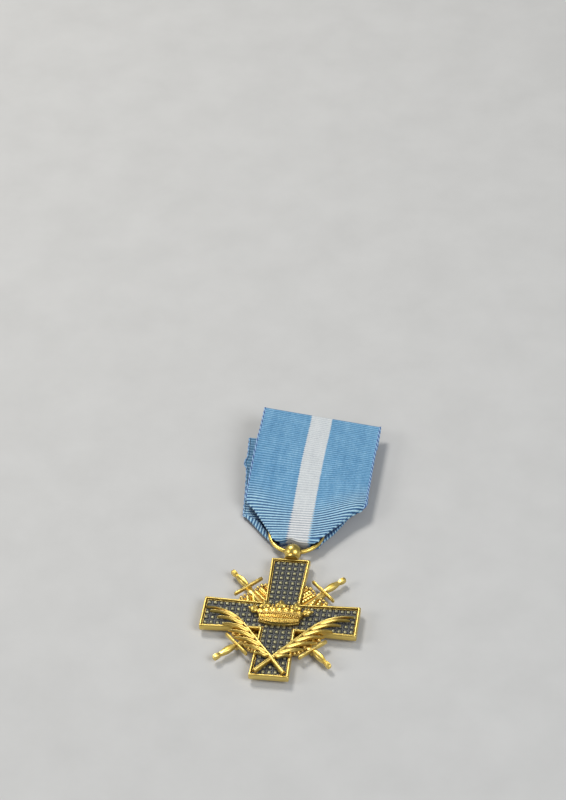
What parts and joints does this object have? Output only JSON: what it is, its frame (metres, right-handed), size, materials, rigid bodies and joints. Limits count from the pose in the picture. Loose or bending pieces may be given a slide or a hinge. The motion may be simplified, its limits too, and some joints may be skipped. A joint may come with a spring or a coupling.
{
  "type": "service medal",
  "caption": "Gilt cross with swords, laurel, coronet and crossed palms, hung by ring and ball from a folded striped ribbon with a pin brooch.",
  "frame": {"origin": "centre of the object's box on the surface it lies on", "axes": "+Z out of the medal's front, +Y from the cross towards the top of the ribbon, +X to the right seen from the front"},
  "size_m": [0.0434, 0.0974, 0.0098],
  "materials": {
    "gilt": "polished gilt, a little worn",
    "field": "oxidised, stud tops rubbed to gilt",
    "ribbon": "ribbed silk, light blue with a white centre stripe",
    "brooch": "plain nickel",
    "thread": "blue thread"
  },
  "bodies": {
    "ribbon_and_brooch": {"ribbon": "ribbon", "ribbon_stitches": "thread", "brooch_bar": "brooch", "hinge_rivet": "brooch", "catch_housing": "brooch"},
    "ring": {"suspension_ring": "gilt"},
    "pendant": {"suspension_ball": "gilt", "cross_frame": "gilt", "field_plate": "field", "coronet": "gilt", "left_palm": "gilt", "right_palm": "gilt", "laurel_wreath": "gilt", "sword_upper_left": "gilt", "sword_upper_right": "gilt", "sword_lower_left": "gilt", "sword_lower_right": "gilt", "sword_rivets": "gilt"},
    "needle": {"brooch_needle": "brooch"},
    "lock": {"catch_sleeve": "brooch"}
  },
  "joints": [
    {"name": "ring_slide", "type": "slide", "parent": "ribbon_and_brooch", "child": "ring", "axis": [0, -1, 0], "range_m": [0, 0.0075]},
    {"name": "pendant_swing", "type": "hinge", "parent": "ring", "child": "pendant", "pos_m": [0, -0.0023, 0.00245], "axis": [1, 0, 0], "range_deg": [-115, 115]},
    {"name": "pin_open", "type": "hinge", "parent": "ribbon_and_brooch", "child": "needle", "pos_m": [0.0134, 0.0427, 0.00175], "axis": [0, -1, 0], "range_deg": [0, 100]},
    {"name": "catch_turn", "type": "hinge", "parent": "ribbon_and_brooch", "child": "lock", "pos_m": [-0.0101, 0.0427, 0.00175], "axis": [1, 0, 0], "range_deg": [0, 120]}
  ]
}
